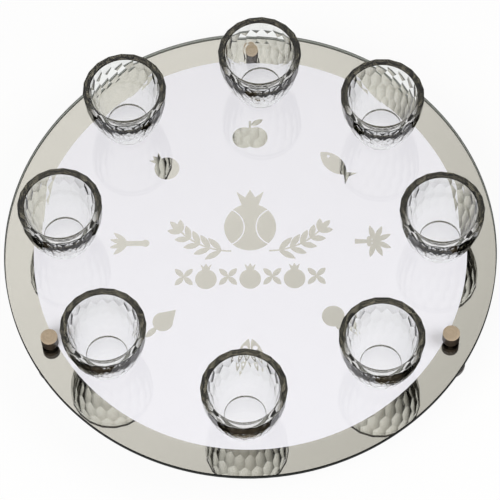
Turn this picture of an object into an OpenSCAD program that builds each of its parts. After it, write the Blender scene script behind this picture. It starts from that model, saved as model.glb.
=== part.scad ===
// Rosh hashanah serving plate: a round mirror-backed glass plate on three short
// metal legs, with a white printed disc and eight loose pressed-glass bowls.
// Millimetres, +Z up. The origin is on the table, under the middle of the plate.

/* [Plate] */
// Diameter of the glass plate
plate_d = 350; // [330:1:420]
// Thickness of the glass
glass_t = 4; // [3:0.5:8]
// Width of the ground chamfer along both edges of the glass
arris = 0.5; // [0.2:0.1:1]
// Width of the plain mirror band outside the white print
mirror_band = 21; // [15:1:30]
// Thickness of the white print film
print_t = 0.2; // [0.1:0.05:0.5]
// Thickness of the silver coat under the print
silver_t = 0.2; // [0.1:0.05:0.5]
// Thickness of the protective paint under the silver
paint_t = 0.3; // [0.2:0.05:0.6]

/* [Bowls] */
// Distance from the plate's edge to the ring on which the bowls stand
bowl_inset = 43; // [43:1:48]
// Outside diameter of a bowl at its rim
bowl_d = 60; // [52:1:61]
// Outside diameter of a bowl's flat base
bowl_base_d = 34; // [32:1:36]
// Height of a bowl
bowl_h = 52; // [40:1:60]
// Thickness of the glass at the rim
bowl_wall = 5; // [4:0.2:6]
// Thickness of the glass at the floor
bowl_floor_t = 6; // [4:0.5:9]
// Diameter of the flat floor inside
bowl_floor_d = 29; // [24:1:30]
// Width of the foot ring under a bowl
bowl_foot_w = 1.5; // [1:0.5:4]
// Depth of the hollow inside the foot ring
bowl_hollow = 0.8; // [0.4:0.1:1.5]
// Air between a bowl and the glass under it
rest_gap = 0.02; // [0.01:0.01:0.1]
// Number of pressed facets round a bowl
facet_count = 20; // [14:2:28]
// Number of facet rows up the wall
facet_rows = 3; // [2:1:6]
// Height of the first zigzag above the base
facet_start = 4; // [3.5:0.5:6]
// Height of the plain band below the rim
rim_band = 5; // [2:0.5:6]

/* [Legs] */
// Distance from the plate's edge to the axis of a leg
leg_inset = 17; // [13:0.5:18]
// Angle from the back leg to each of the front legs
leg_spread = 117.5; // [112:0.5:124]
// Clear height between the table and the underside of the plate
plate_lift = 40; // [34:1:70]
// Diameter of a leg's column
leg_d = 12; // [10:0.5:16]
// Diameter of a leg's round foot
foot_d = 24; // [18:1:32]
// Thickness of the round foot
foot_t = 5; // [3:0.5:8]
// Thickness of the pad under the foot
pad_t = 2; // [1:0.5:4]
// How far the pad stays inside the foot's edge
pad_inset = 1; // [0.5:0.5:3]
// Diameter of the cap above the plate
cap_d = 12; // [10:0.5:12]
// Height of the cap
cap_h = 10; // [9:0.5:11]
// Bevel along the edges of caps and feet
bevel = 0.6; // [0.2:0.1:1.5]

/* [Fastening] */
// Diameter of the threaded stud through the plate
stud_d = 6; // [5:0.5:6]
// How deep the stud goes into the leg
stud_in_leg = 12; // [8:1:20]
// How deep the stud goes into the cap
stud_in_cap = 6; // [4:0.5:7]
// Wall of the sleeve between the stud and the glass
sleeve_wall = 1.3; // [0.8:0.1:1.5]
// Thickness of the washer under the cap
cap_washer_t = 0.5; // [0.3:0.1:1]
// Thickness of the washer on the leg
leg_washer_t = 1; // [0.5:0.1:2]
// How far the washers stay inside the cap's edge
washer_inset = 0.5; // [0.3:0.1:1]
// Radial clearance of the stud and the sleeve
fit = 0.05; // [0.02:0.01:0.1]

/* [Print windows] */
// Distance from the ring of bowls to the ring of small fruit windows
motif_inset = 45; // [42:1:48]
// How far the windows sit from the middle of the plate towards the back
window_shift = 5; // [0:0.5:6]
// Size of the small fruit windows, as the height of the apple
motif_h = 25; // [18:1:26]
// Width of the ornament in the middle
ornament_w = 112; // [90:1:120]

/* [Hidden] */
$fn = 96;

// Angles of the legs, seen from above and counted from +X
back_angle = 90;
left_angle = back_angle + leg_spread;
right_angle = back_angle - leg_spread;

// Rings of legs, bowls and windows follow the plate
leg_ring_r = plate_d / 2 - leg_inset;
bowl_ring_r = plate_d / 2 - bowl_inset;
motif_ring_r = bowl_ring_r - motif_inset;
print_d = plate_d - 2 * mirror_band;

// Heights of the layers above the table
paint_z = plate_lift;
silver_z = paint_z + paint_t;
print_z = silver_z + silver_t;
glass_z = print_z + print_t;
top_z = glass_z + glass_t;
cap_z = top_z + cap_washer_t;
leg_top_z = paint_z - leg_washer_t;
stud_z = leg_top_z - stud_in_leg;
stud_h = cap_z + stud_in_cap - stud_z;

// Bores and holes follow the stud
bore_d = stud_d + 2 * fit;
sleeve_d = bore_d + 2 * sleeve_wall;
hole_d = sleeve_d + 2 * fit;
washer_d = cap_d - 2 * washer_inset;
cap_bore_h = stud_in_cap + fit;

// Margin by which a cutter runs past the face that it cuts
past = 1;

// How each bowl was set down by hand: turn along the ring in degrees, shift outwards
bowl_sets = [
    [-3.5, -3], [-3.5, 1], [-3.5, 0], [-4.5, -1],
    [-1.5, -0.5], [-1, -1.5], [1, 2.5], [-0.5, 1]
];
bowl_count = len(bowl_sets);

// Bowl wall: the outside swells quickly from the base, the inside opens more evenly
swell_out = 2;
swell_in = 1.4;
cavity_steps = 10;
facet_turn = 360 / facet_count;
facet_pitch = (bowl_h - rim_band - facet_start) / (facet_rows + 0.5);
zigzag = facet_pitch / 3;

function bowl_out_r(z) =
    bowl_base_d / 2 + (bowl_d - bowl_base_d) / 2 * (1 - pow(1 - z / bowl_h, swell_out));
function bowl_in_r(s) =
    bowl_floor_d / 2 + (bowl_d / 2 - bowl_wall - bowl_floor_d / 2) * (1 - pow(1 - s, swell_in));
function ring_point(z, turn) =
    [bowl_out_r(z) * cos(turn), bowl_out_r(z) * sin(turn), z];

// Facet corners lie on rings: the base, two rings for each zigzag, the band and the rim
ring_z = concat(
    [0],
    [for (b = [0 : facet_rows], up = [0, 1]) facet_start + b * facet_pitch + up * zigzag],
    [bowl_h - rim_band, bowl_h]
);
rim_shift = facet_rows % 2 / 2;
ring_shift = concat(
    [0.5],
    [for (b = [0 : facet_rows], up = [0, 1]) (b + up) % 2 / 2],
    [rim_shift, rim_shift]
);
last_ring = len(ring_z) - 1;
facet_points = [
    for (k = [0 : last_ring], i = [0 : facet_count - 1])
        ring_point(ring_z[k], (i + ring_shift[k]) * facet_turn)
];
function corner(ring, i) = ring * facet_count + (i + facet_count) % facet_count;

// Six-sided facets between two zigzags, each as four triangles from its lowest corner
function hexagons(b) = let (low = 1 + 2 * b, lead = ring_shift[low] == 0 ? 0 : 1) [
    for (i = [0 : facet_count - 1])
        let (
            bottom = corner(low, i),
            right_low = corner(low + 1, i + lead),
            right_high = corner(low + 2, i + lead),
            top = corner(low + 3, i),
            left_high = corner(low + 2, i + lead - 1),
            left_low = corner(low + 1, i + lead - 1)
        )
        each [
            [bottom, right_high, right_low], [bottom, top, right_high],
            [bottom, left_high, top], [bottom, left_low, left_high]
        ]
];

// Below the first zigzag and above the last one the facets are cut off straight
base_facets = [
    for (i = [0 : facet_count - 1])
        let (left = corner(0, i - 1), right = corner(0, i))
        each [
            [corner(1, i), right, left],
            [corner(1, i), corner(2, i), right],
            [corner(1, i), left, corner(2, i - 1)]
        ]
];
low_top = last_ring - 3;
high_top = last_ring - 2;
band_ring = last_ring - 1;
top_lead = rim_shift == 0 ? 0 : 1;
band_facets = [
    for (i = [0 : facet_count - 1])
        let (peak = corner(high_top, i + top_lead))
        each [
            [corner(low_top, i), corner(band_ring, i), peak],
            [corner(low_top, i + 1), peak, corner(band_ring, i + 1)],
            [corner(band_ring, i), corner(band_ring, i + 1), peak],
            [corner(band_ring, i), corner(last_ring, i), corner(last_ring, i + 1)],
            [corner(band_ring, i), corner(last_ring, i + 1), corner(band_ring, i + 1)]
        ]
];
facet_faces = concat(
    [[for (i = [0 : facet_count - 1]) corner(0, i)]],
    base_facets,
    [for (b = [0 : facet_rows - 1]) each hexagons(b)],
    band_facets,
    [[for (i = [0 : facet_count - 1]) corner(last_ring, facet_count - 1 - i)]]
);

// Bowl cavity, as an outline from the floor up to just past the rim
cavity_h = bowl_h - bowl_floor_t;
cavity_outline = concat(
    [[0, bowl_floor_t]],
    [for (k = [0 : cavity_steps])
        [bowl_in_r(k / cavity_steps), bowl_floor_t + cavity_h * k / cavity_steps]],
    [[bowl_d / 2 - bowl_wall, bowl_h + past], [0, bowl_h + past]]
);

// Puts its children at one leg
module at_leg(turn) {
    rotate(turn)
        translate([leg_ring_r, 0, 0])
            children();
}

// Drills the three leg holes through flat layers
module leg_holes(z, h) {
    for (turn = [back_angle, left_angle, right_angle])
        at_leg(turn)
            translate([0, 0, z - past])
                cylinder(d = hole_d, h = h + 2 * past);
}

// Ring of a given height round the Z axis
module tube(outer_d, inner_d, z, h) {
    translate([0, 0, z])
        difference() {
            cylinder(d = outer_d, h = h);
            translate([0, 0, -past])
                cylinder(d = inner_d, h = h + 2 * past);
        }
}

// Pointed leaf along +Y from the origin, between two arcs
module leaf(length, width) {
    arc_r = (length * length + width * width) / (4 * width);
    translate([0, length / 2])
        intersection_for(side = [-1, 1])
            translate([side * (arc_r - width / 2), 0])
                circle(r = arc_r);
}

// Small fruit windows, drawn about their own middle with their top along +Y.
// u is a tenth of the height of the apple.
module apple_2d(u) {
    for (side = [-1, 1])
        translate([side * 1.7 * u, -u])
            circle(r = 3.4 * u);
    translate([-0.35 * u, 0])
        square([0.7 * u, 4.4 * u]);
    translate([0.2 * u, 3 * u])
        rotate(-62)
            leaf(4 * u, 1.7 * u);
}

module fish_2d(u) {
    difference() {
        translate([-6 * u, 0])
            rotate(-90)
                leaf(10.5 * u, 5 * u);
        translate([-3.4 * u, 0.6 * u])
            circle(r = 0.45 * u);
    }
    polygon([[3.2 * u, 0], [6.4 * u, 2.6 * u], [5.4 * u, 0], [6.4 * u, -2.6 * u]]);
}

module palm_2d(u) {
    polygon([[-0.8 * u, -5 * u], [0.8 * u, -5 * u], [0.4 * u, u], [-0.4 * u, u]]);
    for (side = [-1, 1]) {
        for (turn = [25, 65, 105])
            translate([0, 0.6 * u])
                rotate(side * turn)
                    leaf(5.2 * u, 1.6 * u);
        translate([side * 0.9 * u, -0.9 * u])
            circle(r = 0.7 * u);
    }
}

module gourd_2d(u) {
    translate([0, -1.8 * u])
        circle(r = 3.2 * u);
    translate([0, 1.8 * u])
        circle(r = 2 * u);
    translate([-1.5 * u, -1.2 * u])
        square([3 * u, 3 * u]);
    translate([-0.3 * u, 3.4 * u])
        square([0.6 * u, 1.6 * u]);
}

module pods_2d(u) {
    for (side = [-1, 1])
        translate([side * 2 * u, 0])
            rotate(side * -18)
                difference() {
                    translate([0, -5 * u])
                        leaf(10 * u, 3.2 * u);
                    for (bean = [-1 : 1])
                        translate([0, bean * 2 * u])
                            circle(r = 0.7 * u);
                }
}

module beet_2d(u) {
    circle(r = 2.9 * u);
    polygon([[-2.2 * u, -1.8 * u], [2.2 * u, -1.8 * u], [0, -5.2 * u]]);
    for (turn = [-32, 0, 32])
        translate([0, 2.2 * u])
            rotate(turn)
                leaf(4.6 * u, 1.8 * u);
}

module leek_2d(u) {
    translate([-0.8 * u, -5 * u])
        square([1.6 * u, 5.4 * u]);
    translate([0, -5 * u])
        circle(r = 1.1 * u);
    for (turn = [-40, -14, 14, 40])
        rotate(turn)
            leaf(5.4 * u, 1.5 * u);
}

module pomegranate_2d(u) {
    translate([0, -0.9 * u])
        circle(r = 3.6 * u);
    polygon([
        [-1 * u, 2 * u], [-1.9 * u, 4.6 * u], [-0.7 * u, 3.7 * u], [0, 4.9 * u],
        [0.7 * u, 3.7 * u], [1.9 * u, 4.6 * u], [1 * u, 2 * u]
    ]);
}

// Parts of the ornament in the middle, where v is a hundredth of its width.
// A branch rises from beside the middle along an arc, towards +X, with leaves in pairs.
branch_r = 44;
branch_x = 12;
branch_y = 30;
branch_span = 48;
stem_w = 1.1;

module on_branch(turn, v) {
    translate([branch_x * v, branch_y * v])
        rotate(turn - 90)
            translate([branch_r * v, 0])
                children();
}

module branch_2d(v) {
    translate([branch_x * v, branch_y * v])
        intersection() {
            difference() {
                circle(r = (branch_r + stem_w / 2) * v);
                circle(r = (branch_r - stem_w / 2) * v);
            }
            translate([0, -(branch_r + stem_w) * v])
                square([branch_r * sin(branch_span) * v, branch_r * v]);
        }
    for (turn = [8 : 9.5 : branch_span - 2], side = [-1, 1])
        on_branch(turn, v)
            rotate(side * -38)
                leaf((13 - turn / 12) * v, 4 * v);
    on_branch(branch_span - 1, v)
        leaf(10 * v, 4 * v);
}

// Row of small pomegranates and four-leaved flowers below the middle
garland_pitch = 28;
garland_y = -24;

module garland_2d(v) {
    for (step = [-1 : 1])
        translate([step * garland_pitch * v, garland_y * v])
            pomegranate_2d(1.9 * v);
    for (step = [-1.5 : 1.5])
        translate([step * garland_pitch * v, garland_y * v]) {
            circle(r = 0.9 * v);
            for (turn = [45 : 90 : 315])
                rotate(turn)
                    leaf(8 * v, 3.6 * v);
        }
}

module ornament_2d(v) {
    translate([0, 8 * v]) {
        difference() {
            translate([0, 7 * v])
                pomegranate_2d(4.6 * v);
            for (side = [-1, 1])
                translate([side * 17 * v, 3 * v])
                    difference() {
                        circle(r = 13.6 * v);
                        circle(r = 12.8 * v);
                    }
        }
        for (side = [0, 1])
            mirror([side, 0])
                branch_2d(v);
    }
    garland_2d(v);
}

module motif_2d(k, u) {
    if (k == 0) apple_2d(u);
    if (k == 1) pomegranate_2d(u);
    if (k == 2) leek_2d(u);
    if (k == 3) beet_2d(u);
    if (k == 4) pods_2d(u);
    if (k == 5) gourd_2d(u);
    if (k == 6) palm_2d(u);
    if (k == 7) fish_2d(u);
}

// All windows in the print, seen from above
module windows_2d() {
    translate([0, window_shift]) {
        ornament_2d(ornament_w / 100);
        for (k = [0 : bowl_count - 1])
            rotate(k * 360 / bowl_count)
                translate([0, motif_ring_r])
                    motif_2d(k, motif_h / 10);
    }
}

module print_2d() {
    difference() {
        circle(d = print_d, $fn = 180);
        windows_2d();
    }
}

module glass_disc() {
    plate_r = plate_d / 2;
    color([0.8, 0.88, 0.85, 0.4])
        difference() {
            translate([0, 0, glass_z])
                rotate_extrude($fn = 240)
                    polygon([
                        [0, 0], [plate_r - arris, 0], [plate_r, arris],
                        [plate_r, glass_t - arris], [plate_r - arris, glass_t], [0, glass_t]
                    ]);
            leg_holes(glass_z, glass_t);
        }
}

module white_print() {
    color([0.95, 0.95, 0.97])
        difference() {
            translate([0, 0, print_z])
                linear_extrude(print_t)
                    print_2d();
            leg_holes(print_z, print_t);
        }
}

// The silver lies under the whole glass and reaches up into the print's windows
module mirror_coat() {
    color([0.82, 0.8, 0.76])
        difference() {
            translate([0, 0, silver_z])
                cylinder(d = plate_d - 2 * arris, h = silver_t + print_t, $fn = 240);
            translate([0, 0, print_z])
                linear_extrude(print_t + past)
                    print_2d();
            leg_holes(silver_z, silver_t + print_t);
        }
}

module backing_paint() {
    color([0.35, 0.36, 0.37])
        difference() {
            translate([0, 0, paint_z])
                cylinder(d = plate_d - 2 * arris, h = paint_t, $fn = 240);
            leg_holes(paint_z, paint_t);
        }
}

// Bowl k, counted from the back towards the left
module bowl(k) {
    set = bowl_sets[k];
    color([0.78, 0.84, 0.82, 0.5])
        rotate(back_angle + k * 360 / bowl_count + set[0])
            translate([bowl_ring_r + set[1], 0, top_z + rest_gap])
                difference() {
                    polyhedron(points = facet_points, faces = facet_faces);
                    rotate_extrude()
                        polygon(cavity_outline);
                    translate([0, 0, -past])
                        cylinder(d = bowl_base_d - 2 * bowl_foot_w, h = bowl_hollow + past);
                }
}

module cap(turn) {
    cap_r = cap_d / 2;
    color([0.78, 0.7, 0.6])
        at_leg(turn)
            translate([0, 0, cap_z])
                difference() {
                    rotate_extrude()
                        polygon([
                            [0, 0], [cap_r, 0], [cap_r, cap_h - bevel],
                            [cap_r - bevel, cap_h], [0, cap_h]
                        ]);
                    translate([0, 0, -past])
                        cylinder(d = bore_d, h = cap_bore_h + past);
                }
}

module cap_washer(turn) {
    color([0.16, 0.16, 0.16])
        at_leg(turn)
            tube(washer_d, bore_d, top_z, cap_washer_t);
}

module sleeve(turn) {
    color([0.18, 0.18, 0.18])
        at_leg(turn)
            tube(sleeve_d, bore_d, paint_z, top_z - paint_z);
}

module stud(turn) {
    color([0.7, 0.7, 0.72])
        at_leg(turn)
            translate([0, 0, stud_z])
                cylinder(d = stud_d, h = stud_h);
}

module leg_washer(turn) {
    color([0.12, 0.12, 0.12])
        at_leg(turn)
            tube(leg_d - 2 * washer_inset, bore_d, leg_top_z, leg_washer_t);
}

module leg(turn) {
    foot_r = foot_d / 2;
    leg_r = leg_d / 2;
    color([0.25, 0.22, 0.2])
        at_leg(turn)
            difference() {
                rotate_extrude()
                    polygon([
                        [0, pad_t], [foot_r, pad_t], [foot_r, pad_t + foot_t - bevel],
                        [foot_r - bevel, pad_t + foot_t], [leg_r, pad_t + foot_t],
                        [leg_r, leg_top_z], [0, leg_top_z]
                    ]);
                translate([0, 0, stud_z])
                    cylinder(d = bore_d, h = stud_in_leg + past);
            }
}

module pad(turn) {
    color([0.15, 0.15, 0.15])
        at_leg(turn)
            cylinder(d = foot_d - 2 * pad_inset, h = pad_t);
}

glass_disc();
white_print();
mirror_coat();
backing_paint();

bowl(0);  // bowl_back
bowl(1);  // bowl_back_left
bowl(2);  // bowl_left
bowl(3);  // bowl_front_left
bowl(4);  // bowl_front
bowl(5);  // bowl_front_right
bowl(6);  // bowl_right
bowl(7);  // bowl_back_right

cap(back_angle);  // cap_back
cap_washer(back_angle);  // cap_washer_back
sleeve(back_angle);  // sleeve_back
stud(back_angle);  // stud_back
leg_washer(back_angle);  // leg_washer_back
leg(back_angle);  // leg_back
pad(back_angle);  // pad_back

cap(left_angle);  // cap_left
cap_washer(left_angle);  // cap_washer_left
sleeve(left_angle);  // sleeve_left
stud(left_angle);  // stud_left
leg_washer(left_angle);  // leg_washer_left
leg(left_angle);  // leg_left
pad(left_angle);  // pad_left

cap(right_angle);  // cap_right
cap_washer(right_angle);  // cap_washer_right
sleeve(right_angle);  // sleeve_right
stud(right_angle);  // stud_right
leg_washer(right_angle);  // leg_washer_right
leg(right_angle);  // leg_right
pad(right_angle);  // pad_right
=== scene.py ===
"""Looks of a rosh hashanah plate: mirror glass, white print, pressed-glass bowls and turned metal legs.

Every length is in metres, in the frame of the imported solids: +Z up, the table at Z = 0.
"""

import math

import bpy
from mathutils import Matrix, Vector


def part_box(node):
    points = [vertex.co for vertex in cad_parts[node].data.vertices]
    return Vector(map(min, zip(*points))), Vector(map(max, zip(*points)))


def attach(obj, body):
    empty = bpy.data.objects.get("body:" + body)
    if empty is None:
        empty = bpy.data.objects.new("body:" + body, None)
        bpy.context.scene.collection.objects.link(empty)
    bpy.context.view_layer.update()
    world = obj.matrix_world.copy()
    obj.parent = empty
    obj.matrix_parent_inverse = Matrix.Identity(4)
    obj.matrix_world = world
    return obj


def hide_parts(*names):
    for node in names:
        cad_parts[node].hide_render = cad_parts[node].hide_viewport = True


bl_info = {
    "name": "Rosh Hashanah Plate",
    "version": (1, 0, 0),
    "blender": (4, 5, 0),
    "location": "View3D > Sidebar > Plate",
    "description": "Dresses a mirror-glass serving plate with its bowls, caps and legs",
    "category": "Object",
}

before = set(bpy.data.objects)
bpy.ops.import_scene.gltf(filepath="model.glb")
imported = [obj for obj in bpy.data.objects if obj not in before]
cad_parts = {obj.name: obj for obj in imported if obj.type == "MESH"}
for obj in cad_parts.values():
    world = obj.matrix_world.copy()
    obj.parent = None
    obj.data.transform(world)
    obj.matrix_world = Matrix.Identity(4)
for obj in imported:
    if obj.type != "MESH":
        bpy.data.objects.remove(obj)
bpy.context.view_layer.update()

MM = 0.001
PLATE_BODY = "plate"
SIDES = ("back", "left", "right")
BOWLS = (
    "bowl_back", "bowl_back_left", "bowl_left", "bowl_front_left",
    "bowl_front", "bowl_front_right", "bowl_right", "bowl_back_right",
)
ROUND_SIDES = 256
SMALL_SIDES = 64
# Faces of turned metal that meet at less than this shade as one smooth surface
TURNED_SMOOTH = math.radians(25)
# Room round the stud in the bores of caps and legs
BORE_PLAY = 0.05 * MM
# The wave texture multiplies its scale by this
WAVE_FACTOR = 20
WHITE = (1, 1, 1, 1)


def linear(code):
    """Turns an sRGB hex code into linear red, green and blue."""
    shares = [int(code[k:k + 2], 16) / 255 for k in (0, 2, 4)]
    return tuple(s / 12.92 if s <= 0.04045 else ((s + 0.055) / 1.055) ** 2.4 for s in shares)


def node_size(node):
    """Width, depth and height of a solid."""
    low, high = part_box(node)
    return high - low


def node_axis(node):
    """Place of a round solid's upright axis, at the height of its lowest point."""
    low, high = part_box(node)
    return Vector(((low.x + high.x) / 2, (low.y + high.y) / 2, low.z))


def bore_radius():
    """Radius of the bores that take a stud."""
    low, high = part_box("stud_back")
    return (high.x - low.x) / 2 + BORE_PLAY


# Sizes and colours that a user would change


class PlateLook(bpy.types.PropertyGroup):
    """Glass plate, print and silver"""

    arris: bpy.props.FloatProperty(
        name="Arris", description="Width of the ground edge of the glass",
        default=0.6 * MM, min=0.1 * MM, unit="LENGTH")
    film_gap: bpy.props.FloatProperty(
        name="Film gap", description="Air left between the glass and the films behind it",
        default=0.03 * MM, min=0.0, unit="LENGTH")
    glass_tint: bpy.props.FloatVectorProperty(
        name="Glass tint", description="Colour of the clear plate",
        subtype="COLOR", size=3, default=linear("FCFDFC"))
    # Painted shade and painted light on the ground edge: nearly black from outside and pale from inside
    # the glass, standing in for how light passes through the edge
    edge_shade_tint: bpy.props.FloatVectorProperty(
        name="Edge tint", description="Colour of the ground edge seen from outside",
        subtype="COLOR", size=3, default=linear("0C100E"))
    edge_inside_light: bpy.props.FloatVectorProperty(
        name="Edge inside", description="Colour of the ground edge seen from inside the plate",
        subtype="COLOR", size=3, default=linear("8C918C"))
    print_white: bpy.props.FloatVectorProperty(
        name="Print white", description="Colour of the screen print",
        subtype="COLOR", size=3, default=linear("F0F0F9"))
    silver: bpy.props.FloatVectorProperty(
        name="Silver", description="Colour that the mirror gives to what it shows",
        subtype="COLOR", size=3, default=linear("E2DFDA"))
    backing: bpy.props.FloatVectorProperty(
        name="Backing", description="Colour of the protective paint",
        subtype="COLOR", size=3, default=linear("55585A"))


class BowlLook(bpy.types.PropertyGroup):
    """Pressed-glass bowls"""

    wall: bpy.props.FloatProperty(
        name="Rim", description="Thickness of the glass at the rim",
        default=5 * MM, min=2 * MM, unit="LENGTH")
    floor: bpy.props.FloatProperty(
        name="Floor", description="Thickness of the glass at the floor",
        default=6 * MM, min=3 * MM, unit="LENGTH")
    floor_radius: bpy.props.FloatProperty(
        name="Floor radius", description="Radius of the flat floor inside",
        default=14.5 * MM, min=5 * MM, unit="LENGTH")
    base_radius: bpy.props.FloatProperty(
        name="Base radius", description="Radius of the flat base outside",
        default=17 * MM, min=8 * MM, unit="LENGTH")
    facets: bpy.props.IntProperty(
        name="Facets", description="Number of facets round a bowl", default=20, min=8)
    rows: bpy.props.IntProperty(
        name="Rows", description="Number of facet rows up the wall", default=4, min=2)
    facet_depth: bpy.props.FloatProperty(
        name="Facet depth", description="How deep the middle of a facet lies under the round wall",
        default=0.55 * MM, min=0.1 * MM, unit="LENGTH")
    edge: bpy.props.FloatProperty(
        name="Edge", description="Radius of the fire-polished edges",
        default=0.45 * MM, min=0.1 * MM, unit="LENGTH")
    recess: bpy.props.FloatProperty(
        name="Recess", description="How far the base is hollowed inside its foot ring",
        default=0.8 * MM, min=0.1 * MM, unit="LENGTH")
    tint: bpy.props.FloatVectorProperty(
        name="Tint", description="Colour that the pressed glass gives to what is behind it",
        subtype="COLOR", size=3, default=linear("FDFEFD"))
    # Partly the glass's own colour over the long path down the wall, partly painted shade for the dim
    # light that the wall leads up from under the bowl
    rim_tint_and_shade: bpy.props.FloatVectorProperty(
        name="Rim tint", description="Colour of the glass seen down the wall through the rim",
        subtype="COLOR", size=3, default=linear("F0F0EA"))
    # Painted shade: the dark colour that the outer wall's reflections inside the glass take on
    wall_tint: bpy.props.FloatVectorProperty(
        name="Wall tint", description="Colour of what the outer wall mirrors inside the glass",
        subtype="COLOR", size=3, default=linear("706C5C"))
    # Painted shade: the foot ring and the heel are tinted dark for the contact shadow under the bowl
    foot_shade_tint: bpy.props.FloatVectorProperty(
        name="Foot tint", description="Colour of the ground foot ring in its own shadow",
        subtype="COLOR", size=3, default=linear("3A3C34"))


class MetalLook(bpy.types.PropertyGroup):
    """Caps, legs and small parts"""

    cap: bpy.props.FloatVectorProperty(
        name="Cap", description="Colour of the turned faces of the caps",
        subtype="COLOR", size=3, default=linear("D2BFA6"))
    # Painted shade: cap walls and legs are painted nearly black for the dark surroundings that they mirror
    # and the shade under the plate
    black: bpy.props.FloatVectorProperty(
        name="Black", description="Colour of the blackened walls of caps and legs",
        subtype="COLOR", size=3, default=linear("3A322C"))
    steel: bpy.props.FloatVectorProperty(
        name="Stud", description="Colour of the plated studs",
        subtype="COLOR", size=3, default=linear("B9BABB"))
    nylon: bpy.props.FloatVectorProperty(
        name="Nylon", description="Colour of the sleeves and of the washers under the caps",
        subtype="COLOR", size=3, default=linear("1C1B1A"))
    rubber: bpy.props.FloatVectorProperty(
        name="Rubber", description="Colour of the pads and of the washers over the legs",
        subtype="COLOR", size=3, default=linear("1B1B1B"))


class StageLook(bpy.types.PropertyGroup):
    """Camera and floor"""

    distance: bpy.props.FloatProperty(
        name="Distance", description="From the camera to the point that it looks at",
        default=2.1, min=0.2, unit="LENGTH")
    elevation: bpy.props.FloatProperty(
        name="Elevation", description="Height of the camera's direction over the table",
        default=math.radians(64.0), subtype="ANGLE")
    azimuth: bpy.props.FloatProperty(
        name="Azimuth", description="Turn of the camera round the plate",
        default=math.radians(2.06), subtype="ANGLE")
    roll: bpy.props.FloatProperty(
        name="Roll", description="Turn of the picture",
        default=math.radians(-2.39), subtype="ANGLE")
    aim_x: bpy.props.FloatProperty(
        name="Aim X", description="Point that the camera looks at, across",
        default=-0.07 * MM, unit="LENGTH")
    aim_y: bpy.props.FloatProperty(
        name="Aim Y", description="Point that the camera looks at, in depth",
        default=-2.29 * MM, unit="LENGTH")
    lens: bpy.props.FloatProperty(
        name="Lens", description="Focal length in millimetres", default=213.0, min=10)
    floor: bpy.props.FloatVectorProperty(
        name="Floor", description="Colour of the pale floor",
        subtype="COLOR", size=3, default=linear("F2F2F2"))


# Materials


def add_node(tree, kind, inputs=None, **settings):
    """Adds a node with its settings. An input that is a socket is linked, any other is a value."""
    node = tree.nodes.new(kind)
    for name, value in settings.items():
        setattr(node, name, value)
    for key, value in (inputs or {}).items():
        if isinstance(value, bpy.types.NodeSocket):
            tree.links.new(value, node.inputs[key])
        else:
            node.inputs[key].default_value = value
    return node


def start_material(name):
    """An empty material and its node tree."""
    material = bpy.data.materials.new(name)
    material.use_nodes = True
    material.node_tree.nodes.clear()
    return material, material.node_tree


def end_material(tree, shader):
    """Links the last shader to the material's output."""
    add_node(tree, "ShaderNodeOutputMaterial", {"Surface": shader.outputs[0]})


def own_place(tree):
    """Place on the object, in its own coordinates."""
    return add_node(tree, "ShaderNodeTexCoord").outputs["Object"]


def noise(tree, place, size, detail):
    """Soft blotches of a given size, from 0 to 1."""
    return add_node(tree, "ShaderNodeTexNoise", {
        "Vector": place, "Scale": 1 / size, "Detail": detail}).outputs[0]


def spread(tree, share, low, high):
    """A number that goes from low to high as a share goes from 0 to 1."""
    return add_node(tree, "ShaderNodeMapRange", {"Value": share, 3: low, 4: high}).outputs[0]


def fade(tree, share, colour, left):
    """A colour that loses strength with a share, down to what is left of it."""
    return add_node(tree, "ShaderNodeMix", {
        0: share, 6: (*colour, 1), 7: (*[c * left for c in colour], 1)}, data_type="RGBA").outputs[2]


def relief(tree, height, strength, depth):
    """The tilt of a surface that rises and falls with a height from 0 to 1."""
    return add_node(tree, "ShaderNodeBump", {
        "Height": height, "Strength": strength, "Distance": depth}).outputs[0]


def reckon(tree, operation, first, second):
    """The result of one sum, product or choice of two numbers."""
    return add_node(tree, "ShaderNodeMath", {0: first, 1: second}, operation=operation).outputs[0]


def mix(tree, share, first, second):
    """A shader that goes from the first to the second with a share."""
    return add_node(tree, "ShaderNodeMixShader", {
        0: share, 1: first.outputs[0], 2: second.outputs[0]})


def painted_shade_inside(tree, place, glass, tint, ior, inner_shade):
    """Glass with a soft gleam outside, whose reflections inside are darkened from a low to a high height,
    as painted shade.
    """
    colour, low, high, gleam_ior = inner_shade
    inside = add_node(tree, "ShaderNodeNewGeometry").outputs["Backfacing"]
    height = add_node(tree, "ShaderNodeSeparateXYZ", {0: place}).outputs["Z"]
    share = add_node(tree, "ShaderNodeMapRange", {"Value": height, 1: low, 2: high}).outputs[0]
    passed = add_node(tree, "ShaderNodeBsdfRefraction", {
        "Color": (*tint, 1), "Roughness": 0.0, "IOR": ior})
    # The reflection inside takes the dark colour: painted shade
    kept = add_node(tree, "ShaderNodeBsdfAnisotropic", {"Color": (*colour, 1), "Roughness": 0.0})
    gleam = add_node(tree, "ShaderNodeBsdfAnisotropic", {"Color": WHITE, "Roughness": 0.0})
    kept_share = add_node(tree, "ShaderNodeFresnel", {"IOR": ior}).outputs[0]
    gleam_share = add_node(tree, "ShaderNodeFresnel", {"IOR": gleam_ior}).outputs[0]
    inner = mix(tree, kept_share, passed, kept)
    outer = mix(tree, gleam_share, passed, gleam)
    clear = mix(tree, inside, outer, glass)
    return mix(tree, reckon(tree, "MULTIPLY", inside, share), clear, inner)


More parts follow.
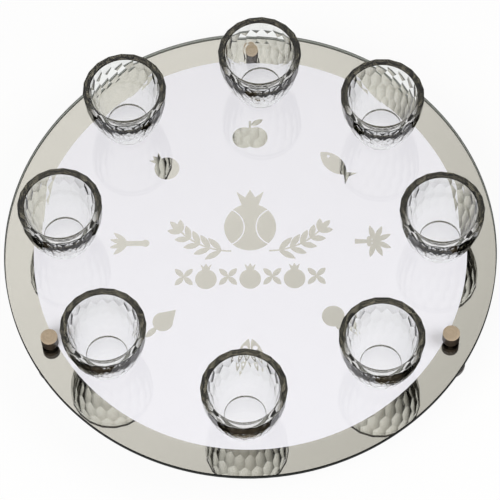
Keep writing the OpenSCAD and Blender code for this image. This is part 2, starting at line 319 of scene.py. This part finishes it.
def glass_material(name, tint, ior, ripple, ripple_depth, inner_shade=None):
    """Clear glass with a slow ripple, which lets the lamps reach what lies behind it."""
    material, tree = start_material(name)
    place = own_place(tree)
    waves = noise(tree, place, size=ripple, detail=1.5)
    glass = add_node(tree, "ShaderNodeBsdfPrincipled", {
        "Base Color": (*tint, 1), "Roughness": 0.0, "IOR": ior, "Transmission Weight": 1.0,
        "Normal": relief(tree, waves, strength=1.0, depth=ripple_depth)})
    if inner_shade:
        glass = painted_shade_inside(tree, place, glass, tint, ior, inner_shade)
    rays = add_node(tree, "ShaderNodeLightPath").outputs
    lamp_rays = reckon(tree, "MAXIMUM", rays["Is Shadow Ray"], rays["Is Diffuse Ray"])
    passed = add_node(tree, "ShaderNodeBsdfTransparent", {"Color": WHITE})
    end_material(tree, mix(tree, lamp_rays, glass, passed))
    return material


def edge_material(look):
    """Ground edge of the sheet, made opaque: painted shade, a nearly black green, from outside, and
    painted light, pale, from inside the glass.
    """
    material, tree = start_material("ground_edge_painted_shade")
    grain = noise(tree, own_place(tree), size=0.6 * MM, detail=2)
    inside = add_node(tree, "ShaderNodeNewGeometry").outputs["Backfacing"]
    # Which side of the edge is seen picks the painted shade or the painted light
    tone = add_node(tree, "ShaderNodeMix", {
        0: inside, 6: (*look.edge_shade_tint, 1), 7: (*look.edge_inside_light, 1)}, data_type="RGBA")
    end_material(tree, add_node(tree, "ShaderNodeBsdfPrincipled", {
        "Base Color": tone.outputs[2], "Roughness": 0.6, "Specular IOR Level": 0.15,
        "Normal": relief(tree, grain, strength=0.3, depth=0.02 * MM)}))
    return material


def print_material(look):
    """Screen-printed white enamel: opaque and satin, with the faint mottle of the squeegee."""
    material, tree = start_material("white_screen_print")
    place = own_place(tree)
    mottle = noise(tree, place, size=18 * MM, detail=4)
    grain = noise(tree, place, size=0.8 * MM, detail=2)
    end_material(tree, add_node(tree, "ShaderNodeBsdfPrincipled", {
        "Base Color": fade(tree, mottle, look.print_white, left=0.975),
        "Roughness": spread(tree, grain, low=0.42, high=0.56),
        "Normal": relief(tree, grain, strength=0.2, depth=0.02 * MM)}))
    return material


def silver_material(look):
    """Silver on the back of glass: a clear mirror, warm in tone, with a hint of cloudiness."""
    material, tree = start_material("silvered_mirror")
    cloud = noise(tree, own_place(tree), size=40 * MM, detail=3)
    end_material(tree, add_node(tree, "ShaderNodeBsdfPrincipled", {
        "Base Color": fade(tree, cloud, look.silver, left=0.96), "Metallic": 1.0,
        "Roughness": spread(tree, cloud, low=0.0, high=0.02)}))
    return material


def coat_material(name, colour, grain, low, high, depth):
    """A dull coat or moulding, such as sprayed paint, nylon or rubber, with a fine uneven skin."""
    material, tree = start_material(name)
    skin = noise(tree, own_place(tree), size=grain, detail=3)
    end_material(tree, add_node(tree, "ShaderNodeBsdfPrincipled", {
        "Base Color": fade(tree, skin, colour, left=0.82),
        "Roughness": spread(tree, skin, low, high),
        "Normal": relief(tree, skin, strength=0.4, depth=depth)}))
    return material


def turned_material(name, colour, axis, along, pitch, rough, metallic=1.0):
    """Turned metal: fine tool marks round the axis, as rings on an end face or bands up a side."""
    material, tree = start_material(name)
    centred = add_node(tree, "ShaderNodeMapping", {
        "Vector": own_place(tree), "Location": -axis}).outputs[0]
    kind = {"wave_type": "BANDS", "bands_direction": "Z"} if along else {
        "wave_type": "RINGS", "rings_direction": "Z"}
    marks = add_node(tree, "ShaderNodeTexWave", {
        "Vector": centred, "Scale": 1 / (pitch * WAVE_FACTOR), "Distortion": 0.6,
        "Detail": 2.0, "Detail Scale": 2.0}, **kind).outputs[1]
    smear = noise(tree, centred, size=2.5 * MM, detail=3)
    end_material(tree, add_node(tree, "ShaderNodeBsdfPrincipled", {
        "Base Color": fade(tree, smear, colour, left=0.8), "Metallic": metallic,
        "Roughness": spread(tree, smear, rough - 0.06, rough + 0.08),
        "Normal": relief(tree, marks, strength=0.35, depth=0.03 * MM)}))
    return material


def dress(node, material):
    """Gives a solid its finish."""
    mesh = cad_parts[node].data
    mesh.materials.clear()
    mesh.materials.append(material)


# Modelling


def deselect_all():
    """Leaves edit mode with nothing selected."""
    if bpy.context.object and bpy.context.object.mode != "OBJECT":
        bpy.ops.object.mode_set(mode="OBJECT")
    bpy.ops.object.select_all(action="DESELECT")


def select_only(piece):
    """Makes one object the selected and active one."""
    deselect_all()
    piece.select_set(True)
    bpy.context.view_layer.objects.active = piece


def discard(piece):
    """Deletes a piece with its mesh."""
    mesh = piece.data
    bpy.data.objects.remove(piece)
    bpy.data.meshes.remove(mesh)


def turn_outline(name, outline, sides):
    """A closed round solid from its outline, a list of radius and height from bottom to top.

    It starts as a filled circle, which is then extruded and resized from point to point."""
    deselect_all()
    radius, height = outline[0]
    bpy.ops.mesh.primitive_circle_add(
        vertices=sides, radius=radius, fill_type="NGON", location=(0, 0, height))
    piece = bpy.context.object
    piece.name = name
    bpy.ops.object.transform_apply(location=True, rotation=True, scale=True)
    bpy.ops.object.mode_set(mode="EDIT")
    bpy.ops.mesh.select_all(action="SELECT")
    for next_radius, next_height in outline[1:]:
        bpy.ops.mesh.extrude_region_move(
            TRANSFORM_OT_translate={"value": (0, 0, next_height - height)})
        share = next_radius / radius
        bpy.ops.transform.resize(value=(share, share, 1), center_override=(0, 0, next_height))
        radius, height = next_radius, next_height
    bpy.ops.mesh.select_all(action="SELECT")
    bpy.ops.mesh.normals_make_consistent(inside=False)
    bpy.ops.object.mode_set(mode="OBJECT")
    return piece


def cut_away(piece, cutter):
    """Cuts one closed solid out of another and deletes the cutter."""
    select_only(piece)
    cut = piece.modifiers.new("cut", "BOOLEAN")
    cut.operation = "DIFFERENCE"
    cut.solver = "EXACT"
    cut.object = cutter
    bpy.ops.object.modifier_apply(modifier=cut.name)
    discard(cutter)


def round_edges(piece, width, segments, angle):
    """Rounds every edge that turns by more than an angle."""
    select_only(piece)
    bevel = piece.modifiers.new("edges", "BEVEL")
    bevel.width = width
    bevel.segments = segments
    bevel.limit_method = "ANGLE"
    bevel.angle_limit = angle
    bpy.ops.object.modifier_apply(modifier=bevel.name)


def shade(piece, angle):
    """Smooth shading over gentle turns, flat facets elsewhere."""
    select_only(piece)
    bpy.ops.object.shade_smooth_by_angle(angle=angle)


def place_piece(piece, turn, place):
    """Turns and moves a piece, and keeps its place in its mesh."""
    select_only(piece)
    piece.matrix_world = Matrix.Translation(place) @ Matrix.Rotation(turn, 4, "Z")
    bpy.ops.object.transform_apply(location=True, rotation=True, scale=True)


def copy_piece(piece, name):
    """A copy with a mesh of its own."""
    select_only(piece)
    bpy.ops.object.duplicate(linked=False)
    double = bpy.context.object
    double.name = name
    double.data.name = name
    return double


def mark_faces(piece, finish, wanted):
    """Puts one of a piece's further finishes on the faces that a test picks out."""
    for face in piece.data.polygons:
        if wanted(face):
            face.material_index = finish


def hand_over(piece, materials, node, body):
    """Gives a new piece its finishes, and puts it on its body in place of its solid."""
    for material in materials:
        piece.data.materials.append(material)
    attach(piece, body)
    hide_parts(node)


class SERVINGPLATE_OT_films(bpy.types.Operator):
    """Gives the print, the silver and the paint behind the glass their finishes"""

    bl_idname = "servingplate.films"
    bl_label = "Print, Silver and Paint"

    def execute(self, context):
        look = context.scene.plate_look
        dress("white_print", print_material(look))
        dress("mirror_coat", silver_material(look))
        dress("backing_paint", coat_material(
            "backing_paint", look.backing, grain=1.5 * MM, low=0.45, high=0.6, depth=0.05 * MM))
        return {"FINISHED"}


class SERVINGPLATE_OT_plate_glass(bpy.types.Operator):
    """Makes the glass plate with its ground edges and leg holes"""

    bl_idname = "servingplate.plate_glass"
    bl_label = "Glass Plate"

    smooth = math.radians(20)
    edge_finish = 1
    level = 0.9

    def execute(self, context):
        look = context.scene.plate_look
        low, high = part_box("glass_disc")
        radius = (high.x - low.x) / 2
        bottom = low.z + look.film_gap
        arris = look.arris
        piece = turn_outline("plate_glass", [
            (radius - arris, bottom), (radius, bottom + arris),
            (radius, high.z - arris), (radius - arris, high.z)], ROUND_SIDES)
        for side in SIDES:
            sleeve = "sleeve_" + side
            bore = node_size(sleeve).x / 2 + look.film_gap
            hole = turn_outline("hole", [(bore, -high.z), (bore, high.z)], SMALL_SIDES)
            axis = node_axis(sleeve)
            place_piece(hole, 0, Vector((axis.x, axis.y, high.z)))
            cut_away(piece, hole)
        shade(piece, self.smooth)
        inner = radius - 2 * arris
        mark_faces(piece, self.edge_finish, lambda face: face.center.xy.length > inner
                   and abs(face.normal.z) < self.level)
        # Float glass: polished by the bath it floated on, with waves too long to see at once
        glass = glass_material(
            "float_glass", look.glass_tint, ior=1.52, ripple=60 * MM, ripple_depth=0.005 * MM)
        edge = edge_material(look)
        hand_over(piece, (glass, edge), "glass_disc", PLATE_BODY)
        return {"FINISHED"}


class SERVINGPLATE_OT_bowls(bpy.types.Operator):
    """Makes one pressed-glass bowl and sets a copy of it down in each place"""

    bl_idname = "servingplate.bowls"
    bl_label = "Bowls"

    outer_sides = 120
    inner_sides = 96
    swell_out = 2
    swell_in = 1.4
    wall_steps = 18
    first_row = 0.1
    last_row = 0.86
    cut_precision = 1e-7
    foot_ring = 1.5 * MM
    heel = 3 * MM
    edge_steps = 4
    sharp = math.radians(40)
    smooth = math.radians(4)
    foot_shade_finish = 1
    rim_finish = 2
    wall_finish = 3
    level = 0.5
    outward = 0.2
    ior = 1.5
    ripple = 7 * MM
    ripple_depth = 0.01 * MM
    # Heights over the base between which the painted shade inside the outer wall grows
    inner_shade_low = 10 * MM
    inner_shade_high = 26 * MM
    gleam_ior = 1.22

    def outer_radius(self, look, radius, share):
        """Radius of the outside at a share of the height."""
        swell = 1 - (1 - share) ** self.swell_out
        return look.base_radius + (radius - look.base_radius) * swell

    def cut_facets(self, look, radius, height):
        """Cuts flat facets into the wall, each row half a facet round from the one below."""
        bpy.ops.object.mode_set(mode="EDIT")
        for row in range(look.rows):
            share = self.first_row + (self.last_row - self.first_row) * row / (look.rows - 1)
            slope = self.swell_out * (radius - look.base_radius) / height
            slope *= (1 - share) ** (self.swell_out - 1)
            out = Vector((1, 0, -slope)).normalized()
            spot = Vector((self.outer_radius(look, radius, share), 0, share * height))
            spot -= out * look.facet_depth
            for column in range(look.facets):
                turn = Matrix.Rotation(math.tau * (column + row % 2 / 2) / look.facets, 3, "Z")
                bpy.ops.mesh.select_all(action="SELECT")
                bpy.ops.mesh.bisect(
                    plane_co=turn @ spot, plane_no=turn @ out, use_fill=True, clear_outer=True,
                    threshold=self.cut_precision)
        bpy.ops.object.mode_set(mode="OBJECT")

    def finish_faces(self, piece, look, foot, height):
        """Marks the faces of the foot ring, of the rim and of the outer wall between them, whose finishes
        carry painted shade.
        """
        rim = height - look.edge / 2
        # Foot ring and heel: these faces take the glass tinted dark as painted shade
        mark_faces(piece, self.foot_shade_finish, lambda face: face.center.z < look.edge / 2
                   and face.normal.z < -self.level)
        mark_faces(piece, self.foot_shade_finish, lambda face: face.center.z < self.heel
                   and face.center.xy.length > foot)
        mark_faces(piece, self.rim_finish, lambda face: face.center.z > rim
                   and face.normal.z > self.level)
        mark_faces(piece, self.wall_finish, lambda face: self.heel < face.center.z < rim
                   and face.normal.xy.dot(face.center.xy) > self.outward * face.center.xy.length)

    def bowl(self, look, radius, height):
        """One bowl, standing on the origin."""
        shares = [k / self.wall_steps for k in range(self.wall_steps + 1)]
        piece = turn_outline("bowl", [
            (self.outer_radius(look, radius, s), s * height) for s in shares], self.outer_sides)
        select_only(piece)
        self.cut_facets(look, radius, height)
        mouth = radius - look.wall
        inside = [
            (look.floor_radius + (mouth - look.floor_radius) * (1 - (1 - s) ** self.swell_in),
             look.floor + s * (height - look.floor)) for s in shares]
        cavity = turn_outline("cavity", inside + [(mouth, height + look.wall)], self.inner_sides)
        cut_away(piece, cavity)
        foot = look.base_radius - self.foot_ring
        hollow = turn_outline("hollow", [
            (foot + look.recess, -look.recess), (foot - look.recess, look.recess)], self.inner_sides)
        cut_away(piece, hollow)
        round_edges(piece, look.edge, self.edge_steps, self.sharp)
        shade(piece, self.smooth)
        self.finish_faces(piece, look, foot, height)
        return piece

    def glass(self, name, tint, inner_shade=None):
        """Pressed clear glass: fire-polished, with a slow ripple from the mould."""
        return glass_material(name, tint, self.ior, self.ripple, self.ripple_depth, inner_shade)

    def execute(self, context):
        look = context.scene.bowl_look
        size = node_size("bowl_front")
        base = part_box("bowl_front")[0].z
        # Painted shade on the reflections inside the outer wall, from a low to a high height
        inner_shade = (look.wall_tint, base + self.inner_shade_low, base + self.inner_shade_high, self.gleam_ior)
        finishes = (
            # Inside and base: bright and clear, so that the plate shows through
            self.glass("pressed_glass", look.tint),
            # Foot ring and heel: glass tinted dark as painted shade for the contact shadow under the foot,
            # which darkens what the wall leads to the eye
            self.glass("foot_painted_shade_glass", look.foot_shade_tint),
            # Rim: the eye looks down the whole height of the wall through it, so it is a little warmer and
            # darker, partly from the glass's own colour over that path and partly as painted shade
            self.glass("pressed_glass_rim", look.rim_tint_and_shade),
            # Outer wall: a soft gleam from outside, and painted shade where the thick glass mirrors within
            # itself
            self.glass("pressed_glass_wall", look.tint, inner_shade),
        )
        model = self.bowl(look, max(size.x, size.y) / 2, size.z)
        for node in BOWLS:
            axis = node_axis(node)
            piece = copy_piece(model, node + "_glass")
            place_piece(piece, math.atan2(axis.y, axis.x), axis)
            hand_over(piece, finishes, node, node)
        discard(model)
        return {"FINISHED"}


class SERVINGPLATE_OT_caps(bpy.types.Operator):
    """Makes the three turned caps on top of the plate"""

    bl_idname = "servingplate.caps"
    bl_label = "Caps"

    bevel = 0.6 * MM
    ring = 0.35 * MM
    ring_depth = 0.08 * MM
    ring_places = (0.72, 0.4)
    top_finish = 1
    level = 0.5
    mark_pitch = 0.35 * MM
    rough = 0.4

    def cap(self, radius, height, bore, depth):
        """One cap with a bevelled edge, two turned rings on its face and a blind bore."""
        face = radius - self.bevel
        outline = [
            (radius - self.ring_depth, 0), (radius, self.ring_depth),
            (radius, height - self.bevel), (face, height)]
        for share in self.ring_places:
            spot = face * share
            outline += [
                (spot + self.ring, height), (spot + self.ring / 2, height - self.ring_depth),
                (spot - self.ring / 2, height - self.ring_depth), (spot - self.ring, height)]
        piece = turn_outline("cap", outline, SMALL_SIDES)
        cutter = turn_outline("bore", [(bore, -depth), (bore, depth)], SMALL_SIDES)
        cut_away(piece, cutter)
        shade(piece, TURNED_SMOOTH)
        top = height - self.bevel
        mark_faces(piece, self.top_finish, lambda face: face.center.z > top
                   and face.normal.z > self.level)
        return piece

    def execute(self, context):
        look = context.scene.metal_look
        size = node_size("cap_back")
        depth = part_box("stud_back")[1].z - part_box("cap_back")[0].z
        model = self.cap(size.x / 2, size.z, bore_radius(), depth)
        for side in SIDES:
            node = "cap_" + side
            axis = node_axis(node)
            piece = copy_piece(model, node + "_turned")
            place_piece(piece, 0, axis)
            # Bare warm nickel on the face, with the rings of the tool; the wall is painted nearly black,
            # as painted shade for the dark room that it mirrors
            top = turned_material(
                "turned_nickel_" + side, look.cap, axis, along=False,
                pitch=self.mark_pitch, rough=self.rough, metallic=0.5)
            wall = turned_material(
                "cap_wall_painted_shade_" + side, look.black, axis, along=True,
                pitch=self.mark_pitch, rough=self.rough, metallic=0.2)
            hand_over(piece, (wall, top), node, PLATE_BODY)
        discard(model)
        return {"FINISHED"}


class SERVINGPLATE_OT_legs(bpy.types.Operator):
    """Makes the three turned legs with their round feet"""

    bl_idname = "servingplate.legs"
    bl_label = "Legs"

    bevel = 0.6 * MM
    foot_height = 5 * MM
    fillet = 2.5 * MM
    fillet_steps = 6
    neck_drop = 3 * MM
    groove = 0.5 * MM

    def leg(self, foot, column, height, bore, depth):
        """One leg: a bevelled foot, a hollow fillet, a groove and a column with a tapped end."""
        rise = self.foot_height + self.fillet
        outline = [(foot - self.bevel, 0), (foot, self.bevel),
                   (foot, self.foot_height - self.bevel), (foot - self.bevel, self.foot_height)]
        for k in range(self.fillet_steps + 1):
            turn = math.pi / 2 * k / self.fillet_steps
            outline.append((column + self.fillet * (1 - math.sin(turn)),
                            rise - self.fillet * math.cos(turn)))
        neck = height - self.neck_drop
        outline += [
            (column, neck - self.groove), (column - self.groove, neck),
            (column, neck + self.groove), (column, height - self.bevel / 2),
            (column - self.bevel / 2, height)]
        piece = turn_outline("leg", outline, SMALL_SIDES)
        cutter = turn_outline(
            "bore", [(bore, height - depth), (bore, height + depth)], SMALL_SIDES)
        cut_away(piece, cutter)
        shade(piece, TURNED_SMOOTH)
        return piece

    def execute(self, context):
        look = context.scene.metal_look
        size = node_size("leg_back")
        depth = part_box("leg_back")[1].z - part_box("stud_back")[0].z
        column = node_size("cap_back").x / 2
        model = self.leg(size.x / 2, column, size.z, bore_radius(), depth)
        for side in SIDES:
            node = "leg_" + side
            axis = node_axis(node)
            piece = copy_piece(model, node + "_turned")
            place_piece(piece, 0, axis)
            # Turned metal painted nearly black, as painted shade under the plate, with a low shine along
            # the tool marks
            metal = turned_material(
                "leg_painted_shade_" + side, look.black, axis, along=True,
                pitch=0.4 * MM, rough=0.35, metallic=0.2)
            hand_over(piece, (metal,), node, PLATE_BODY)
        discard(model)
        return {"FINISHED"}


class SERVINGPLATE_OT_small_parts(bpy.types.Operator):
    """Gives washers, sleeves, studs and pads their finishes"""

    bl_idname = "servingplate.small_parts"
    bl_label = "Washers, Studs and Pads"

    def execute(self, context):
        look = context.scene.metal_look
        nylon = coat_material(
            "black_nylon", look.nylon, grain=0.6 * MM, low=0.35, high=0.5, depth=0.01 * MM)
        rubber = coat_material(
            "black_rubber", look.rubber, grain=0.5 * MM, low=0.7, high=0.9, depth=0.03 * MM)
        for side in SIDES:
            dress("cap_washer_" + side, nylon)
            dress("sleeve_" + side, nylon)
            dress("leg_washer_" + side, rubber)
            dress("pad_" + side, rubber)
            # Zinc-plated steel: pale grey, with the bands of its thread
            dress("stud_" + side, turned_material(
                "plated_stud_" + side, look.steel, node_axis("stud_" + side), along=True,
                pitch=1.0 * MM, rough=0.35))
        return {"FINISHED"}


class SERVINGPLATE_OT_stage(bpy.types.Operator):
    """Sets up the pale floor, the soft lamps, the surroundings and the camera"""

    bl_idname = "servingplate.stage"
    bl_label = "Stage"

    floor_half = 6.0
    floor_white = 0.92
    floor_far_white = 0.05
    floor_near = 0.4
    floor_far = 0.9
    panel = (-0.13, 0.53, 0.838)
    panel_stops = (
        (0.0, "100F0D"), (0.8, "1C1B18"), (0.9, "55534E"), (0.95, "A8A6A0"),
        (0.975, "DAD8D3"), (0.992, "F4F2EE"), (1.0, "F8F6F2"))
    front = (0.0, -0.5, 0.866)
    front_tint = linear("F0D8BC")
    front_glow = 0.42
    front_from = 0.86
    front_full = 0.95
    wall_tint = linear("F2EEE8")
    wall_glow = 0.68
    wall_full = 0.45
    wall_end = 0.62
    lamps = (
        ("key", (-0.7, -1.1, 1.5), 1.1, 24),
        ("fill", (1.2, -0.3, 1.4), 1.0, 14.5),
    )
    sensor = 36
    view_end = 100

    def floor(self, look):
        """A wide pale floor, white to the camera apart from a faint shadow."""
        deselect_all()
        bpy.ops.mesh.primitive_plane_add(size=2 * self.floor_half, location=(0, 0, 0))
        floor = bpy.context.object
        floor.name = "floor"
        # Pale paper: matt, and bright near the plate, where mirror and glass show it
        material, tree = start_material("pale_floor")
        rays = add_node(tree, "ShaderNodeLightPath").outputs
        seen = reckon(tree, "MAXIMUM", rays["Is Camera Ray"], rays["Is Glossy Ray"])
        seen = reckon(tree, "MAXIMUM", seen, rays["Is Transmission Ray"])
        reach = add_node(tree, "ShaderNodeVectorMath", {0: own_place(tree)}, operation="LENGTH")
        lit = add_node(tree, "ShaderNodeMapRange", {
            "Value": reach.outputs["Value"], 1: self.floor_near, 2: self.floor_far,
            3: self.floor_white, 4: self.floor_far_white}).outputs[0]
        near = reckon(tree, "MULTIPLY", seen, lit)
        plain = reckon(tree, "MULTIPLY", rays["Is Camera Ray"], self.floor_white)
        paper = add_node(tree, "ShaderNodeBsdfPrincipled", {
            "Base Color": (*look.floor, 1), "Roughness": 0.9})
        white = add_node(tree, "ShaderNodeEmission", {"Color": WHITE, "Strength": 1.0})
        end_material(tree, mix(tree, reckon(tree, "MAXIMUM", near, plain), paper, white))
        floor.data.materials.append(material)

    def towards(self, tree, direction, aim):
        """How nearly a direction points at an aim, which it does at 1."""
        return add_node(tree, "ShaderNodeVectorMath", {
            0: direction, 1: aim}, operation="DOT_PRODUCT").outputs["Value"]

    def sky(self, tree, colour, strength):
        """Light from all round, of a colour and a strength."""
        return add_node(tree, "ShaderNodeBackground", {"Color": colour, "Strength": strength})

    def surroundings(self):
        """A wide pale panel overhead, a faint warm glow in front and pale low walls, dark in between."""
        world = bpy.data.worlds.new("studio")
        bpy.context.scene.world = world
        world.use_nodes = True
        tree = world.node_tree
        tree.nodes.clear()
        direction = add_node(tree, "ShaderNodeTexCoord").outputs["Generated"]
        ramp = add_node(tree, "ShaderNodeValToRGB", {0: self.towards(tree, direction, self.panel)})
        points = ramp.color_ramp.elements
        for k, (spot, code) in enumerate(self.panel_stops):
            # A new ramp has two points already
            point = points[k] if k < 2 else points.new(spot)
            point.position = spot
            point.color = (*linear(code), 1)
        glow = add_node(tree, "ShaderNodeMapRange", {
            "Value": self.towards(tree, direction, self.front),
            1: self.front_from, 2: self.front_full, 3: 0.0, 4: self.front_glow}).outputs[0]
        height = add_node(tree, "ShaderNodeSeparateXYZ", {0: direction}).outputs["Z"]
        low = add_node(tree, "ShaderNodeMapRange", {
            "Value": height, 1: self.wall_full, 2: self.wall_end, 3: self.wall_glow, 4: 0.0}).outputs[0]
        room = self.sky(tree, ramp.outputs[0], 1.0)
        ahead = self.sky(tree, (*self.front_tint, 1), glow)
        walls = self.sky(tree, (*self.wall_tint, 1), low)
        upper = add_node(tree, "ShaderNodeAddShader", {0: room.outputs[0], 1: ahead.outputs[0]})
        studio = add_node(tree, "ShaderNodeAddShader", {0: upper.outputs[0], 1: walls.outputs[0]})
        rays = add_node(tree, "ShaderNodeLightPath").outputs
        both = mix(tree, rays["Is Camera Ray"], studio, self.sky(tree, WHITE, 1.0))
        add_node(tree, "ShaderNodeOutputWorld", {"Surface": both.outputs[0]})

    def lamp(self, name, place, size, power):
        """A square soft lamp that points at the plate."""
        data = bpy.data.lights.new(name, "AREA")
        data.shape = "SQUARE"
        data.size = size
        data.energy = power
        lamp = bpy.data.objects.new(name, data)
        bpy.context.scene.collection.objects.link(lamp)
        lamp.visible_transmission = False
        lamp.visible_glossy = False
        lamp.location = place
        lamp.rotation_euler = (-Vector(place)).to_track_quat("-Z", "Y").to_euler()

    def camera(self, look):
        """The camera, at the photograph's view of the plate's top face."""
        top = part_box("glass_disc")[1].z
        back = Vector((math.sin(look.azimuth) * math.cos(look.elevation),
                       -math.cos(look.azimuth) * math.cos(look.elevation),
                       math.sin(look.elevation)))
        right = Vector((0, 0, 1)).cross(back).normalized()
        up = back.cross(right)
        across = math.cos(look.roll) * right + math.sin(look.roll) * up
        upright = -math.sin(look.roll) * right + math.cos(look.roll) * up
        data = bpy.data.cameras.new("camera")
        data.lens = look.lens
        data.sensor_width = self.sensor
        data.clip_end = self.view_end
        camera = bpy.data.objects.new("camera", data)
        bpy.context.scene.collection.objects.link(camera)
        place = Vector((look.aim_x, look.aim_y, top)) + back * look.distance
        turn = Matrix((across, upright, back)).transposed().to_4x4()
        camera.matrix_world = Matrix.Translation(place) @ turn
        bpy.context.scene.camera = camera

    def execute(self, context):
        look = context.scene.stage_look
        self.floor(look)
        self.surroundings()
        for name, place, size, power in self.lamps:
            self.lamp(name, place, size, power)
        self.camera(look)
        context.scene.view_settings.view_transform = "Standard"
        return {"FINISHED"}


class SERVINGPLATE_PT_panel(bpy.types.Panel):
    """Lists the steps that dress the plate"""

    bl_idname = "SERVINGPLATE_PT_panel"
    bl_label = "Rosh Hashanah Plate"
    bl_space_type = "VIEW_3D"
    bl_region_type = "UI"
    bl_category = "Plate"

    def draw(self, context):
        for step in OPERATORS:
            self.layout.operator(step.bl_idname)
        for name in LOOKS:
            box = self.layout.box()
            look = getattr(context.scene, name)
            for key in look.__annotations__:
                box.prop(look, key)


LOOKS = {
    "plate_look": PlateLook, "bowl_look": BowlLook, "metal_look": MetalLook, "stage_look": StageLook,
}
OPERATORS = (
    SERVINGPLATE_OT_films, SERVINGPLATE_OT_plate_glass, SERVINGPLATE_OT_bowls,
    SERVINGPLATE_OT_caps, SERVINGPLATE_OT_legs, SERVINGPLATE_OT_small_parts, SERVINGPLATE_OT_stage,
)
CLASSES = (*LOOKS.values(), *OPERATORS, SERVINGPLATE_PT_panel)


def register():
    for kind in CLASSES:
        bpy.utils.register_class(kind)
    for name, look in LOOKS.items():
        setattr(bpy.types.Scene, name, bpy.props.PointerProperty(type=look))


def unregister():
    for name in LOOKS:
        delattr(bpy.types.Scene, name)
    for kind in reversed(CLASSES):
        bpy.utils.unregister_class(kind)


def main():
    """Dresses the plate."""
    register()
    bpy.ops.servingplate.films()
    bpy.ops.servingplate.plate_glass()
    bpy.ops.servingplate.bowls()
    bpy.ops.servingplate.caps()
    bpy.ops.servingplate.legs()
    bpy.ops.servingplate.small_parts()
    bpy.ops.servingplate.stage()


if __name__ == "__main__":
    main()
